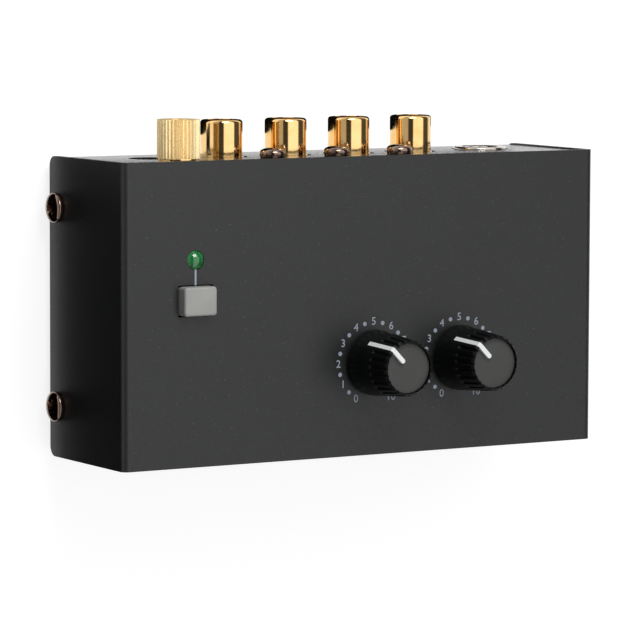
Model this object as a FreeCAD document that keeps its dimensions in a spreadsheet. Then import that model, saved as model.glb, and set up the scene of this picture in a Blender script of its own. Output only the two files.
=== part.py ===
import FreeCAD, Part
import math
import os
import re
import Sketcher

# A phono preamp in a two-piece sheet steel case, lying on its rubber feet.
# X runs along the connector panel, Y runs to the back, towards the connectors, and Z is up.
# The origin is on the floor, midway between the case's front edge and the end of the ground nut.

SIZES = {
    # case, and the width and depth of it that the places of the parts are given for
    "case_width": 108.0,
    "case_depth": 59.0,
    "layout_width": 108.0,
    "layout_depth": 59.0,
    "case_height": 30.4,
    "cover_sheet": 1.0,
    "chassis_sheet": 1.0,
    "bend_inside": 0.5,
    "flap_corner": 2.0,
    "side_gap": 0.1,
    "lid_gap": 0.2,
    "panel_inset": 0.3,
    "ear_width": 9.0,
    "ear_height": 7.0,
    "ear_corner": 1.5,
    # fasteners and feet
    "cover_screw_diameter": 3.0,
    "cover_screw_length": 5.0,
    "cover_screw_height": 3.3,
    "cover_screw_pitch": 39.0,
    "cover_screw_head": 6.0,
    "cover_screw_crown": 1.65,
    "cover_screw_hole": 3.4,
    "foot_diameter": 8.0,
    "foot_height": 2.0,
    "foot_inset": 9.0,
    "foot_taper": 0.5,
    "thread_gap": 0.05,
    # circuit board
    "board_drop": 23.4,
    "board_sheet": 1.6,
    "board_side_gap": 2.4,
    "board_front_gap": 2.0,
    "board_back_gap": 1.0,
    "standoff_flats": 5.0,
    "standoff_floor": 0.5,
    "standoff_side": 4.5,
    "standoff_front": 4.2,
    "standoff_pitch": 19.0,
    "board_screw_diameter": 2.5,
    "board_screw_end_gap": 0.5,
    "board_screw_head": 4.6,
    "board_screw_crown": 1.5,
    # phono sockets
    "jack_first": 30.7,
    "jack_pitch": 14.6,
    "jack_drop": 16.5,
    "jack_reach": 7.3,
    "jack_diameter": 8.3,
    "jack_collar": 8.9,
    "jack_wall": 0.8,
    "jack_bevel": 0.7,
    "jack_panel_hole": 10.4,
    "jack_seat": 3.0,
    "insulator_recess": 0.6,
    "contact_bore": 3.2,
    "contact_wall": 0.65,
    "contact_recess": 0.1,
    "contact_relief": 3.6,
    "contact_relief_depth": 2.6,
    "nest_gap": 0.05,
    "housing_depth": 13.0,
    "housing_height": 18.4,
    "jack_screw_rise": 7.5,
    "jack_screw_diameter": 2.9,
    "jack_screw_length": 8.0,
    "jack_screw_head": 5.2,
    "jack_screw_crown": 1.9,
    "jack_screw_hole": 3.3,
    # headphone-size output jack
    "output_inset": 15.7,
    "output_drop": 18.2,
    "output_bore": 6.5,
    "output_nose": 10.9,
    "output_nose_reach": 0.5,
    "output_nose_bevel": 0.3,
    "output_panel_hole": 11.4,
    "output_width": 16.0,
    "output_height": 12.0,
    "output_length": 26.0,
    "spring_thickness": 0.4,
    "spring_width": 3.0,
    "spring_height": 10.5,
    "spring_pitch": 7.0,
    "spring_count": 3,
    # power inlet
    "inlet_inset": 15.0,
    "inlet_drop": 16.9,
    "inlet_panel_hole": 8.4,
    "inlet_bore": 6.3,
    "inlet_bore_depth": 9.5,
    "inlet_pin": 2.0,
    "inlet_pin_recess": 0.6,
    "inlet_pin_bevel": 0.4,
    "inlet_width": 9.0,
    "inlet_height": 11.0,
    "inlet_length": 13.0,
    # ground post
    "post_drop": 5.5,
    "post_diameter": 4.0,
    "post_end_recess": 0.6,
    "post_end_bevel": 0.5,
    "post_tail": 7.0,
    "nut_height": 7.5,
    "nut_diameter": 8.3,
    "nut_tooth_depth": 0.3,
    "nut_teeth": 36,
    "washer_diameter": 8.0,
    "washer_thickness": 0.6,
    "inner_nut_flats": 7.0,
    "inner_nut_height": 2.4,
    "lug_thickness": 0.5,
    "lug_diameter": 7.6,
    "strap_width": 2.4,
    "strap_offset": 6.6,
    "strap_foot": 4.0,
    "washer_gap": 0.1,
    # knobs and potentiometers
    "knob_first": 55.85,
    "knob_pitch": 20.0,
    "knob_row": 18.3,
    "knob_gap": 0.9,
    "knob_height": 12.4,
    "knob_base": 13.0,
    "knob_tip": 11.0,
    "knob_bevel": 0.35,
    "knob_wall": 1.3,
    "knob_hollow": 6.5,
    "knob_boss": 9.0,
    "knob_boss_lift": 0.8,
    "flute_count": 24,
    "flute_inner": 10.6,
    "flute_floor": 0.7,
    "flute_outer": 12.4,
    "flute_mouth": 1.2,
    "flute_length": 5.6,
    "disc_diameter": 10.2,
    "disc_thickness": 0.6,
    "pointer_width": 0.9,
    "pointer_start": 1.7,
    "pointer_drop": 8.1,
    "pointer_depth": 0.7,
    "pointer_proud": 0.05,
    "pointer_end": 0.4,
    "pointer_rest": 44.0,
    "shaft_diameter": 6.0,
    "shaft_flat": 4.5,
    "shaft_gap": 0.05,
    "shaft_hole": 7.4,
    "shaft_entry": 10.0,
    "key_width": 5.4,
    "key_bite": 0.3,
    "shaft_foot": 1.5,
    "pot_width": 9.6,
    "pot_depth": 10.6,
    "pot_height": 6.8,
    "bushing_diameter": 7.0,
    "bushing_height": 5.0,
    # power button and lamp
    "button_inset": 15.75,
    "button_row": 32.2,
    "button_width": 7.1,
    "button_depth": 5.6,
    "button_reach": 2.2,
    "button_length": 12.8,
    "button_corner": 0.7,
    "button_bevel": 0.3,
    "button_gap": 0.25,
    "button_travel": 2.0,
    "plunger_side": 3.6,
    "plunger_grip": 5.0,
    "plunger_entry": 3.6,
    "plunger_gap": 0.12,
    "plunger_room": 0.3,
    "switch_side": 8.5,
    "switch_height": 8.4,
    "lamp_inset": 15.7,
    "lamp_row": 40.0,
    "lamp_diameter": 3.2,
    "lamp_reach": 0.9,
    "lamp_flange": 3.9,
    "lamp_flange_height": 1.0,
    "lamp_hole_gap": 0.3,
    "lamp_body": 5.0,
    "lamp_dome": 0.8,
    "lamp_lead": 0.5,
    "lamp_lead_pitch": 2.0,
    "spacer_diameter": 4.6,
    "spacer_bore": 3.2,
    # parts on the board
    "chip_length": 9.2,
    "chip_width": 6.4,
    "chip_height": 3.3,
    "chip_lift": 0.6,
    "chip_row": 33.5,
    "chip_first": 38.0,
    "chip_pitch": 16.0,
    "chip_count": 2,
    "chip_leg_height": 1.8,
    "chip_leg": 0.5,
    "chip_leg_pitch": 2.54,
    "can_diameter": 6.3,
    "can_height": 11.0,
    "can_first": 22.0,
    "can_pitch": 8.5,
    "can_count": 3,
    "can_row": 18.5,
    "film_length": 7.2,
    "film_width": 2.6,
    "film_height": 6.5,
    "film_first": 28.0,
    "film_pitch": 10.5,
    "film_count": 5,
    "film_row": 40.5,
    "resistor_length": 3.2,
    "resistor_width": 1.6,
    "resistor_height": 0.6,
    "resistor_first": 24.0,
    "resistor_pitch": 4.6,
    "resistor_row": 8.0,
    "resistor_count": 13,
    "regulator_width": 10.0,
    "regulator_thickness": 4.5,
    "regulator_height": 9.0,
    "regulator_tab": 6.5,
    "regulator_tab_thickness": 1.3,
    "regulator_tab_hole": 3.6,
    "regulator_lift": 3.0,
    "regulator_inset": 16.0,
    "regulator_row": 19.0,
    "regulator_leg": 0.7,
    "regulator_leg_pitch": 2.54,
}

# Heights above the floor, and places from the case's middle, as formulas of the sizes.
FACE = "(foot_height + case_height)"
BOARD_TOP = f"({FACE} - board_drop)"
STANDOFF_HEIGHT = f"({BOARD_TOP} - board_sheet - chassis_sheet - foot_height)"
BOARD_SCREW_LENGTH = f"(board_sheet + {STANDOFF_HEIGHT} - standoff_floor - board_screw_end_gap)"
SPREAD = "(case_width / layout_width)"
DEEPEN = "(case_depth / layout_depth)"
PANEL_OUT = "(case_depth / 2 - panel_inset)"
PANEL_IN = "(case_depth / 2 - panel_inset - chassis_sheet)"
LEFT = "(-case_width / 2)"
RIGHT = "(case_width / 2)"
FRONT = "(-case_depth / 2)"
INNER_HALF = "(case_width / 2 - cover_sheet - side_gap)"
ORIGIN_Y = "((washer_thickness + nut_height - panel_inset) / 2)"
BOARD_HALF = f"({INNER_HALF} - board_side_gap)"
BOARD_FRONT = f"(-{PANEL_IN} + board_front_gap)"
BOARD_BACK = f"({PANEL_IN} - board_back_gap)"
STANDOFF_ACROSS = f"({BOARD_HALF} - standoff_side)"
STANDOFF_BACK = f"({BOARD_FRONT} + standoff_front)"
JACK_HEIGHT = f"({FACE} - jack_drop)"
JACK_SCREW_HEIGHT = f"({JACK_HEIGHT} + jack_screw_rise)"
JACK_PITCH = f"(jack_pitch * {SPREAD})"
OUTPUT_ACROSS = f"({RIGHT} - output_inset * {SPREAD})"
OUTPUT_HEIGHT = f"({FACE} - output_drop)"
INLET_ACROSS = f"({LEFT} + inlet_inset * {SPREAD})"
INLET_HEIGHT = f"({FACE} - inlet_drop)"
POST_HEIGHT = f"({FACE} - post_drop)"
KNOB_BACK = f"({FRONT} + knob_row * {DEEPEN})"
BUTTON_ACROSS = f"({LEFT} + button_inset * {SPREAD})"
BUTTON_BACK = f"({FRONT} + button_row * {DEEPEN})"
LAMP_ACROSS = f"({LEFT} + lamp_inset * {SPREAD})"
LAMP_BACK = f"({FRONT} + lamp_row * {DEEPEN})"
JACKS = range(4)
TO_BACK = FreeCAD.Rotation(FreeCAD.Vector(1, 0, 0), -90)
TOUCH = 0.001
CUT_PAST = "1"

doc = FreeCAD.newDocument("phono_preamp")
sheet = doc.addObject("Spreadsheet::Sheet", "Sizes")
for row, (alias, number) in enumerate(SIZES.items(), start=1):
    sheet.set(f"A{row}", alias)
    sheet.set(f"B{row}", str(number))
    sheet.setAlias(f"B{row}", alias)
doc.recompute()

pieces = []


def size(alias):
    return sheet.get(alias)


def cell(formula):
    """Write a formula's size names as references to the sheet."""
    return re.sub(r"[a-z]+(_[a-z]+)+", r"Sizes.\g<0>", formula)


def bind(item, **formulas):
    for name, formula in formulas.items():
        item.setExpression(name, cell(formula))


def place(item, across="0", back="0", height="0", turn=None):
    """Put a piece at a point measured from the case's middle and the floor."""
    if turn:
        item.Placement = FreeCAD.Placement(FreeCAD.Vector(), turn)
    item.setExpression("Placement.Base.x", cell(across))
    item.setExpression("Placement.Base.y", cell(f"{back} - {ORIGIN_Y}"))
    item.setExpression("Placement.Base.z", cell(height))


def new_body(label):
    body = doc.addObject("PartDesign::Body", label)
    pieces.append(body)
    return body


def origin_part(body, role):
    return next(part for part in body.Origin.OriginFeatures if part.Role == role)


def new_sketch(body, role, across="0", up="0", out="0"):
    """Attach a sketch to one of the body's own planes, with its origin moved on it and off it."""
    sketch = body.newObject("Sketcher::SketchObject", f"{body.Name}_sketch")
    sketch.AttachmentSupport = [(origin_part(body, role), "")]
    sketch.MapMode = "FlatFace"
    for direction, formula in zip("xyz", (across, up, out)):
        sketch.setExpression(f"AttachmentOffset.Base.{direction}", cell(formula))
    return sketch


def fix_point(sketch, line, end, across, up):
    for kind, formula in (("DistanceX", across), ("DistanceY", up)):
        number = sketch.addConstraint(Sketcher.Constraint(kind, -1, 1, line, end, 1.0))
        sketch.setExpression(f"Constraints[{number}]", cell(formula))


def outline(sketch, corners):
    """Draw a closed loop of lines through corners given as (across, up) formulas."""
    first = sketch.GeometryCount
    count = len(corners)
    angles = [2 * math.pi * corner / count for corner in range(count)]
    start = [FreeCAD.Vector(math.cos(angle), math.sin(angle), 0) for angle in angles]
    for corner in range(count):
        sketch.addGeometry(Part.LineSegment(start[corner], start[(corner + 1) % count]), False)
    for corner in range(count):
        following = first + (corner + 1) % count
        sketch.addConstraint(Sketcher.Constraint("Coincident", first + corner, 2, following, 1))
    for corner, (across, up) in enumerate(corners):
        fix_point(sketch, first + corner, 1, across, up)


def rectangle(sketch, low_across, low_up, high_across, high_up):
    corners = [(low_across, low_up), (high_across, low_up)]
    corners += [(high_across, high_up), (low_across, high_up)]
    outline(sketch, corners)


def centred_rectangle(sketch, width, depth, across="0", up="0"):
    rectangle(sketch, f"{across} - {width} / 2", f"{up} - {depth} / 2",
              f"{across} + {width} / 2", f"{up} + {depth} / 2")


def hexagon(sketch, flats):
    flat, point = f"{flats} / 2", f"{flats} / 2 / cos(30)"
    outline(sketch, [(point, "0"), (f"{point} / 2", flat), (f"-{point} / 2", flat),
                     (f"-{point}", "0"), (f"-{point} / 2", f"-{flat}"), (f"{point} / 2", f"-{flat}")])


def circle(sketch, diameter, across="0", up="0"):
    ring = Part.Circle(FreeCAD.Vector(), FreeCAD.Vector(0, 0, 1), 1.0)
    line = sketch.addGeometry(ring, False)
    fix_point(sketch, line, 3, across, up)
    number = sketch.addConstraint(Sketcher.Constraint("Diameter", line, 2.0))
    sketch.setExpression(f"Constraints[{number}]", cell(diameter))


def pad(body, sketch, length, midplane=False, back=False):
    feature = body.newObject("PartDesign::Pad", f"{body.Name}_pad")
    feature.Profile = sketch
    feature.Midplane = midplane
    feature.Reversed = back
    bind(feature, Length=length)
    doc.recompute()
    return feature


def pocket(body, sketch, length=None, midplane=False, back=False):
    """Cut a sketch's shape out of the body, right through it where no length is given."""
    before = body.Tip.Shape.Volume
    feature = body.newObject("PartDesign::Pocket", f"{body.Name}_pocket")
    feature.Profile = sketch
    feature.Midplane = midplane
    feature.Reversed = back
    if length:
        bind(feature, Length=length)
    else:
        feature.Type = "ThroughAll"
    doc.recompute()
    if not body.Tip.Shape.Volume < before - TOUCH:
        raise RuntimeError(f"{body.Label}: a pocket removed nothing")
    return feature


def turn_profile(body, corners, sketch=None, axis="V_Axis"):
    """Revolve a closed profile about an axis of its sketch."""
    if sketch is None:
        sketch = new_sketch(body, "XZ_Plane")
    outline(sketch, corners)
    feature = body.newObject("PartDesign::Revolution", f"{body.Name}_revolution")
    feature.Profile = sketch
    feature.ReferenceAxis = (sketch, [axis])
    feature.Angle = 360
    doc.recompute()
    return feature


def picked(body, chosen):
    """Name the edges of the body that chosen(edge) picks."""
    edges = enumerate(body.Tip.Shape.Edges, start=1)
    names = [f"Edge{number}" for number, edge in edges if chosen(edge)]
    if not names:
        raise RuntimeError(f"{body.Label}: no edge to work on")
    return body.Tip, names


def round_edges(body, radius, chosen):
    base = picked(body, chosen)
    feature = body.newObject("PartDesign::Fillet", f"{body.Name}_rounding")
    feature.Base = base
    bind(feature, Radius=radius)
    doc.recompute()


def bevel_edges(body, width, chosen):
    base = picked(body, chosen)
    feature = body.newObject("PartDesign::Chamfer", f"{body.Name}_bevel")
    feature.Base = base
    bind(feature, Size=width)
    doc.recompute()


def edge_at(**where):
    """Choose edges whose middle has the given coordinates, on either side of the origin."""
    def chosen(edge):
        middle = edge.CenterOfMass
        gaps = [abs(abs(getattr(middle, name)) - abs(number)) for name, number in where.items()]
        return max(gaps) < TOUCH
    return chosen


def level_edges(height):
    """Choose the edges that lie at one height."""
    def chosen(edge):
        return all(abs(corner.Point.z - height) < TOUCH for corner in edge.Vertexes)
    return chosen


def ring_at(radius, height):
    """Choose the round edge of an upright turned piece by its radius and its height."""
    def chosen(edge):
        if not isinstance(edge.Curve, Part.Circle):
            return False
        right_size = abs(edge.Curve.Radius - radius) < TOUCH
        return right_size and abs(edge.Curve.Center.z - height) < TOUCH
    return chosen


def mirrored(body, role):
    step = body.newObject("PartDesign::Mirrored", f"{body.Name}_mirror")
    step.MirrorPlane = (origin_part(body, role), [""])
    return step


def in_line(body, role, pitch, count):
    step = body.newObject("PartDesign::LinearPattern", f"{body.Name}_line")
    step.Direction = (origin_part(body, role), [""])
    step.Mode = "Spacing"
    bind(step, Offset=pitch, Occurrences=count)
    return step


def repeat(body, *steps, originals=None):
    """Repeat some features, or the whole piece where none are named, by one or more steps."""
    pattern = body.newObject("PartDesign::MultiTransform", f"{body.Name}_pattern")
    if originals:
        pattern.Originals = originals
    else:
        pattern.TransformMode = "Whole shape"
    pattern.Transformations = list(steps)
    body.Tip = pattern
    doc.recompute()


def repeat_round(body, feature, count):
    pattern = body.newObject("PartDesign::PolarPattern", f"{body.Name}_ring")
    pattern.Originals = [feature]
    pattern.Axis = (origin_part(body, "Z_Axis"), [""])
    pattern.Angle = 360
    bind(pattern, Occurrences=count)
    body.Tip = pattern
    doc.recompute()
    return pattern


def jack_across(index):
    return f"({LEFT} + (jack_first + {index} * jack_pitch) * {SPREAD})"


def knob_across(index):
    return f"({LEFT} + (knob_first + {index} * knob_pitch) * {SPREAD})"


def jack_screw_across(index):
    return f"({jack_across(index)} + {JACK_PITCH} / 2)"


def make_top_cover():
    """Label face and two side flaps, bent from one sheet. Its zero height is the flaps' edge."""
    body = new_body("top_cover")
    half, inner = "case_width / 2", "(case_width / 2 - cover_sheet)"
    top, under = "case_height", "(case_height - cover_sheet)"
    profile = new_sketch(body, "XZ_Plane")
    outline(profile, [(f"-{half}", "0"), (f"-{half}", top), (half, top), (half, "0"),
                      (inner, "0"), (inner, under), (f"-{inner}", under), (f"-{inner}", "0")])
    pad(body, profile, "case_depth", midplane=True)
    half_width, sheet_metal, height = size("case_width") / 2, size("cover_sheet"), size("case_height")
    round_edges(body, "bend_inside + cover_sheet", edge_at(x=half_width, z=height))
    round_edges(body, "bend_inside", edge_at(x=half_width - sheet_metal, z=height - sheet_metal))
    corner = edge_at(y=size("case_depth") / 2, z=0, x=half_width - sheet_metal / 2)
    round_edges(body, "flap_corner", corner)
    holes = new_sketch(body, "XY_Plane")
    circle(holes, "lamp_diameter + 2 * lamp_hole_gap", LAMP_ACROSS, LAMP_BACK)
    for index in range(2):
        circle(holes, "shaft_hole", knob_across(index), KNOB_BACK)
    centred_rectangle(holes, "(button_width + 2 * button_gap)", "(button_depth + 2 * button_gap)",
                      BUTTON_ACROSS, BUTTON_BACK)
    pocket(body, holes, back=True)
    screw_holes = new_sketch(body, "YZ_Plane")
    for side in ("-", ""):
        circle(screw_holes, "cover_screw_hole", f"{side}cover_screw_pitch / 2", "cover_screw_height")
    pocket(body, screw_holes, midplane=True)
    place(body, height="foot_height")


def make_base_chassis():
    """Bottom, front panel and connector panel, with four tapped ears for the cover's screws."""
    body = new_body("base_chassis")
    half, inner = PANEL_OUT, PANEL_IN
    top = "(case_height - cover_sheet - lid_gap)"
    floor = "chassis_sheet"
    profile = new_sketch(body, "YZ_Plane")
    outline(profile, [(f"-{half}", "0"), (f"-{half}", top), (f"-{inner}", top), (f"-{inner}", floor),
                      (inner, floor), (inner, top), (half, top), (half, "0")])
    pad(body, profile, f"2 * {INNER_HALF}", midplane=True)
    outer = size("case_depth") / 2 - size("panel_inset")
    metal = size("chassis_sheet")
    round_edges(body, "bend_inside + chassis_sheet", edge_at(x=0, y=outer, z=0))
    round_edges(body, "bend_inside", edge_at(x=0, y=outer - metal, z=metal))
    ear = new_sketch(body, "YZ_Plane", out=f"{INNER_HALF} - chassis_sheet")
    rectangle(ear, "cover_screw_pitch / 2 - ear_width / 2", "chassis_sheet / 2",
              "cover_screw_pitch / 2 + ear_width / 2", "ear_height")
    ears = pad(body, ear, "chassis_sheet")
    repeat(body, mirrored(body, "YZ_Plane"), mirrored(body, "XZ_Plane"), originals=[ears])
    ear_x = size("case_width") / 2 - size("cover_sheet") - size("side_gap") - metal / 2
    for side in (-1, 1):
        ear_edge = size("cover_screw_pitch") / 2 + side * size("ear_width") / 2
        round_edges(body, "ear_corner", edge_at(x=ear_x, y=ear_edge, z=size("ear_height")))
    taps = new_sketch(body, "YZ_Plane")
    for side in ("-", ""):
        circle(taps, "cover_screw_diameter + 2 * thread_gap", f"{side}cover_screw_pitch / 2",
               "cover_screw_height")
    pocket(body, taps, midplane=True)
    panel_holes = new_sketch(body, "XZ_Plane")
    for index in JACKS:
        circle(panel_holes, "jack_panel_hole", jack_across(index), f"{JACK_HEIGHT} - foot_height")
    for index in JACKS[:-1]:
        circle(panel_holes, "jack_screw_hole", jack_screw_across(index),
               f"{JACK_SCREW_HEIGHT} - foot_height")
    circle(panel_holes, "output_panel_hole", OUTPUT_ACROSS, f"{OUTPUT_HEIGHT} - foot_height")
    circle(panel_holes, "inlet_panel_hole", INLET_ACROSS, f"{INLET_HEIGHT} - foot_height")
    circle(panel_holes, "post_diameter + 2 * thread_gap", INLET_ACROSS,
           f"{POST_HEIGHT} - foot_height")
    pocket(body, panel_holes)
    place(body, height="foot_height")


def repeat_at_corners(body, height):
    """Repeat a post that stands at the front right corner of the board at the other three."""
    repeat(body, mirrored(body, "YZ_Plane"), in_line(body, "Y_Axis", "standoff_pitch", "2"))
    place(body, back=STANDOFF_BACK, height=height)


def make_standoffs():
    """Hexagonal posts on the chassis, each with a blind threaded hole from its top."""
    body = new_body("board_standoffs")
    profile = new_sketch(body, "XY_Plane", across=STANDOFF_ACROSS)
    hexagon(profile, "standoff_flats")
    pad(body, profile, STANDOFF_HEIGHT)
    thread = new_sketch(body, "XY_Plane", across=STANDOFF_ACROSS, out=STANDOFF_HEIGHT)
    circle(thread, "board_screw_diameter + 2 * thread_gap")
    pocket(body, thread, f"{STANDOFF_HEIGHT} - standoff_floor")
    repeat_at_corners(body, "foot_height + chassis_sheet")


def turn_screw(body, name, length, sketch, axis):
    """Turn a screw whose head points along an axis of its sketch and whose shank points back."""
    shank, head, crown = f"{name}_diameter / 2", f"{name}_head / 2", f"{name}_crown"
    corners = [(f"-{length}", "0"), (f"-{length}", shank), ("0", shank), ("0", head),
               (crown, head), (crown, "0")]
    if axis == "V_Axis":
        corners = [(radius, along) for along, radius in corners]
    turn_profile(body, corners, sketch, axis)


def make_board_screws():
    body = new_body("board_screws")
    sketch = new_sketch(body, "XZ_Plane", across=STANDOFF_ACROSS)
    turn_screw(body, "board_screw", BOARD_SCREW_LENGTH, sketch, "V_Axis")
    repeat_at_corners(body, BOARD_TOP)


def make_cover_screws():
    """Four pan head screws. Each is turned about a line along X, through a flap and its ear."""
    body = new_body("cover_screws")
    sketch = new_sketch(body, "XZ_Plane", across="case_width / 2", out="-cover_screw_pitch / 2")
    turn_screw(body, "cover_screw", "cover_screw_length", sketch, "H_Axis")
    repeat(body, mirrored(body, "YZ_Plane"), mirrored(body, "XZ_Plane"))
    place(body, height="foot_height + cover_screw_height")


def make_feet():
    body = new_body("rubber_feet")
    profile = new_sketch(body, "XZ_Plane", across=f"{INNER_HALF} - foot_inset",
                         out=f"-({PANEL_OUT} - foot_inset)")
    wide, narrow = "foot_diameter / 2", "(foot_diameter / 2 - foot_taper)"
    turn_profile(body, [("0", "0"), (narrow, "0"), (wide, "foot_height"), ("0", "foot_height")], profile)
    repeat(body, mirrored(body, "YZ_Plane"), mirrored(body, "XZ_Plane"))
    place(body)


def make_board():
    body = new_body("circuit_board")
    profile = new_sketch(body, "XY_Plane")
    rectangle(profile, f"-{BOARD_HALF}", BOARD_FRONT, BOARD_HALF, BOARD_BACK)
    pad(body, profile, "board_sheet")
    holes = new_sketch(body, "XY_Plane")
    for side in ("-", ""):
        for step in ("0", "standoff_pitch"):
            circle(holes, "board_screw_diameter + 2 * nest_gap", f"{side}{STANDOFF_ACROSS}",
                   f"{STANDOFF_BACK} + {step}")
    pocket(body, holes, back=True)
    place(body, height=f"{BOARD_TOP} - board_sheet")


def make_jack_housing():
    """One moulded block behind the panel that seats four phono barrels and three screws."""
    body = new_body("phono_housing")
    profile = new_sketch(body, "XZ_Plane")
    rectangle(profile, f"{jack_across(0)} - {JACK_PITCH} / 2", "0",
              f"{jack_across(JACKS[-1])} + {JACK_PITCH} / 2", "housing_height")
    pad(body, profile, "housing_depth")
    seats = new_sketch(body, "XZ_Plane")
    for index in JACKS:
        circle(seats, "jack_collar + 2 * nest_gap", jack_across(index), f"{JACK_HEIGHT} - {BOARD_TOP}")
    pocket(body, seats, "jack_seat", back=True)
    pilots = new_sketch(body, "XZ_Plane")
    for index in JACKS[:-1]:
        circle(pilots, "jack_screw_diameter + 2 * thread_gap", jack_screw_across(index),
               f"{JACK_SCREW_HEIGHT} - {BOARD_TOP}")
    pocket(body, pilots, "jack_screw_length", back=True)
    place(body, back=PANEL_IN, height=BOARD_TOP)


def make_phono_socket(index):
    """Barrel, insulator and centre contact. Their zero is the panel's outer face."""
    outer, inner = "jack_diameter / 2", "(jack_diameter / 2 - jack_wall)"
    root = "(-chassis_sheet - jack_seat)"
    where = dict(across=jack_across(index), back=PANEL_OUT, height=JACK_HEIGHT, turn=TO_BACK)

    shell = new_body(f"phono_shell_{index + 1}")
    turn_profile(shell, [(inner, root), ("jack_collar / 2", root), ("jack_collar / 2", "0"),
                         (outer, "0"), (outer, "jack_reach"), (inner, "jack_reach")])
    bevel_edges(shell, "jack_bevel", ring_at(size("jack_diameter") / 2, size("jack_reach")))
    place(shell, **where)

    insulator = new_body(f"phono_insulator_{index + 1}")
    wall = f"({inner} - nest_gap)"
    nest = "(contact_bore / 2 + contact_wall + nest_gap)"
    face = "(jack_reach - insulator_recess)"
    turn_profile(insulator, [("0", root), (wall, root), (wall, face), (nest, face), (nest, "0"),
                             ("contact_relief / 2", "0"),
                             ("contact_relief / 2", "-contact_relief_depth"),
                             ("0", "-contact_relief_depth")])
    place(insulator, **where)

    contact = new_body(f"phono_contact_{index + 1}")
    bore, tube = "contact_bore / 2", "(contact_bore / 2 + contact_wall)"
    end = f"({face} - contact_recess)"
    turn_profile(contact, [(bore, "0"), (tube, "0"), (tube, end), (bore, end)])
    place(contact, **where)


def make_jack_screws():
    """Three pan head screws that hold the connector panel to the housing."""
    body = new_body("jack_screws")
    sketch = new_sketch(body, "YZ_Plane", out=jack_screw_across(0))
    turn_screw(body, "jack_screw", "jack_screw_length", sketch, "H_Axis")
    repeat(body, in_line(body, "X_Axis", JACK_PITCH, str(len(JACKS) - 1)))
    place(body, back=PANEL_OUT, height=JACK_SCREW_HEIGHT)


def make_output_jack():
    """Moulded body with a bore for the plug, a metal nose in the panel and three springs."""
    body = new_body("output_jack_body")
    profile = new_sketch(body, "XZ_Plane")
    rectangle(profile, "-output_width / 2", f"{BOARD_TOP} - {OUTPUT_HEIGHT}", "output_width / 2",
              f"{BOARD_TOP} - {OUTPUT_HEIGHT} + output_height")
    pad(body, profile, "output_length")
    bore = new_sketch(body, "XZ_Plane")
    circle(bore, "output_bore")
    pocket(body, bore, back=True)
    place(body, OUTPUT_ACROSS, PANEL_IN, OUTPUT_HEIGHT)

    nose = new_body("output_jack_nose")
    bore_radius, outer = "output_bore / 2", "output_nose / 2"
    end = "(chassis_sheet + output_nose_reach)"
    turn_profile(nose, [(bore_radius, "0"), (outer, "0"), (outer, end), (bore_radius, end)])
    bevel_edges(nose, "output_nose_bevel",
                ring_at(size("output_nose") / 2, size("chassis_sheet") + size("output_nose_reach")))
    place(nose, OUTPUT_ACROSS, PANEL_IN, OUTPUT_HEIGHT, TO_BACK)

    springs = new_body("output_jack_springs")
    leaf = new_sketch(springs, "YZ_Plane")
    rectangle(leaf, "0", "0", "spring_width", "spring_height")
    pad(springs, leaf, "spring_thickness")
    repeat(springs, in_line(springs, "Y_Axis", "spring_pitch", "spring_count"))
    front_leaf = f"{PANEL_IN} - spring_count * spring_pitch"
    place(springs, f"{OUTPUT_ACROSS} + output_width / 2", front_leaf, BOARD_TOP)


def make_inlet():
    """Power inlet body with its round socket, and the pin in the middle of it."""
    body = new_body("power_inlet_body")
    profile = new_sketch(body, "XZ_Plane")
    rectangle(profile, "-inlet_width / 2", f"{BOARD_TOP} - {INLET_HEIGHT}", "inlet_width / 2",
              f"{BOARD_TOP} - {INLET_HEIGHT} + inlet_height")
    pad(body, profile, "inlet_length")
    bore = new_sketch(body, "XZ_Plane")
    circle(bore, "inlet_bore")
    pocket(body, bore, "inlet_bore_depth", back=True)
    place(body, INLET_ACROSS, PANEL_IN, INLET_HEIGHT)

    pin = new_body("power_inlet_pin")
    radius = "inlet_pin / 2"
    turn_profile(pin, [("0", "-inlet_bore_depth"), (radius, "-inlet_bore_depth"),
                       (radius, "-inlet_pin_recess"), ("0", "-inlet_pin_recess")])
    bevel_edges(pin, "inlet_pin_bevel", ring_at(size("inlet_pin") / 2, -size("inlet_pin_recess")))
    place(pin, INLET_ACROSS, PANEL_IN, INLET_HEIGHT, TO_BACK)


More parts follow.
